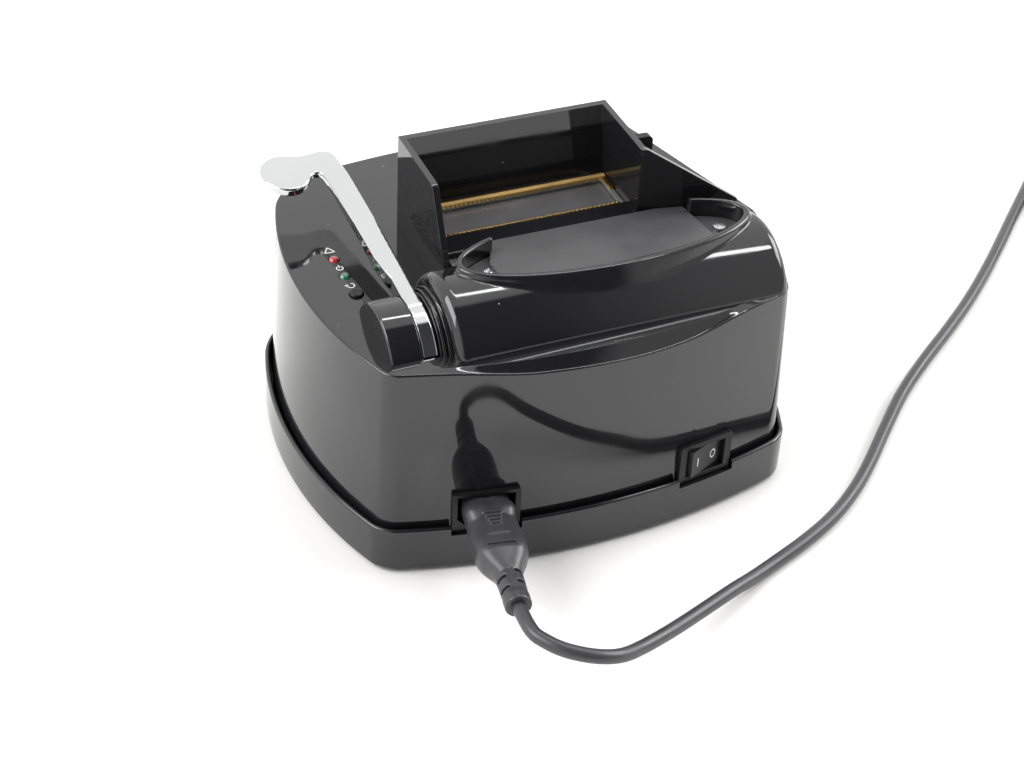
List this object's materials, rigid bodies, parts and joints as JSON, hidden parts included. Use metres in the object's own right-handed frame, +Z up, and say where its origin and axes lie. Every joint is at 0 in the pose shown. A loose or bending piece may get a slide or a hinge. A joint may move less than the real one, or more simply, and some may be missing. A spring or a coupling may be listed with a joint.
{
  "type": "tube filling machine",
  "caption": "Desk-top electric tube filling machine: glossy case in a tray, hopper over a press chamber, chromed side lever, oval collecting tray, rear mains inlet and rocker switch.",
  "frame": {"origin": "centre of the tray's footprint, at floor level", "axes": "+X to the lever side, +Y to the rear wall with the mains inlet, +Z up"},
  "size_m": [0.5446, 0.3035, 0.1425],
  "materials": {
    "gloss_black": "polished moulded plastic, mirror-like",
    "satin_black": "satin moulded plastic",
    "satin_grey": "satin moulded gear housing",
    "nylon": "natural nylon",
    "cord_black": "soft PVC, satin",
    "rubber_black": "matt rubber",
    "chrome": "polished chrome plate",
    "steel": "bright ground steel",
    "alloy": "die-cast, as cast",
    "brass": "stamped brass",
    "board_green": "solder-masked circuit board",
    "copper_coil": "taped transformer winding",
    "lens_red": "clear tinted lens, unlit",
    "lens_green": "clear tinted lens, unlit"
  },
  "bodies": {
    "machine": {"base_tray": "gloss_black", "feet": "rubber_black", "base_screws": "steel", "case_shell": "gloss_black", "hopper": "gloss_black", "drum_cover": "gloss_black", "drum_collar": "gloss_black", "hub_cap": "gloss_black", "chute_plate": "gloss_black", "chute_screws": "steel", "chamber_block": "alloy", "front_blade": "brass", "rear_blade": "brass", "shaft_supports": "alloy", "shaft_bushes": "brass", "guide_rod": "steel", "rod_brackets": "alloy", "nozzle": "steel", "clamp_bracket": "satin_black", "clamp_pin": "steel", "gearbox": "satin_grey", "motor": "steel", "motor_cradle": "alloy", "limit_switches": "satin_black", "control_board": "board_green", "tact_switch": "satin_black", "led_red": "lens_red", "led_green": "lens_green", "power_board": "board_green", "transformer": "copper_coil", "power_parts": "satin_black", "inlet_body": "satin_black", "inlet_pins": "steel", "switch_body": "satin_black", "plug_body": "cord_black", "plug_relief": "cord_black", "lead_run": "cord_black", "lead_coil": "cord_black", "lead_tail": "cord_black", "lead_tie": "satin_black", "mains_plug": "cord_black", "mains_pins": "brass"},
    "lever": {"lever": "chrome", "lever_shaft": "steel", "press_pinions": "nylon", "switch_cam": "nylon"},
    "press": {"press_jaw": "gloss_black"},
    "spoon_carriage": {"spoon": "steel", "carriage": "nylon"},
    "drive": {"drive_pinion": "nylon"},
    "clamp": {"tube_clamp": "satin_black"},
    "rocker": {"switch_rocker": "satin_black"},
    "reset": {"reset_button": "satin_black"}
  },
  "joints": [
    {"name": "lever_hinge", "type": "hinge", "parent": "machine", "child": "lever", "pos_m": [0.068, 0.0455, 0.09], "axis": [-1, 0, 0], "range_deg": [0, 60]},
    {"name": "press_slide", "type": "slide", "parent": "machine", "child": "press", "axis": [0, 1, 0], "range_m": [0, 0.0146]},
    {"name": "drive_hinge", "type": "hinge", "parent": "machine", "child": "drive", "pos_m": [-0.021, -0.0185, 0.064], "axis": [0, -1, 0], "range_deg": [0, 310]},
    {"name": "spoon_slide", "type": "slide", "parent": "machine", "child": "spoon_carriage", "axis": [-1, 0, 0], "range_m": [0, 0.0649]},
    {"name": "clamp_hinge", "type": "hinge", "parent": "machine", "child": "clamp", "pos_m": [-0.0555, -0.001, 0.112], "axis": [-1, 0, 0], "range_deg": [0, 40], "stiffness_Nm_per_rad": 0.02},
    {"name": "rocker_hinge", "type": "hinge", "parent": "machine", "child": "rocker", "pos_m": [-0.04984, 0.08204, 0.029], "axis": [0, 0, -1], "range_deg": [0, 22]},
    {"name": "reset_press", "type": "slide", "parent": "machine", "child": "reset", "axis": [0, 0, -1], "range_m": [0, 0.001], "stiffness_N_per_m": 400}
  ],
  "couplings": [
    {"joint": "press_slide", "follows": "lever_hinge", "m_per_rad": 0.0135},
    {"joint": "drive_hinge", "follows": "spoon_slide", "rad_per_m": 83.333}
  ]
}
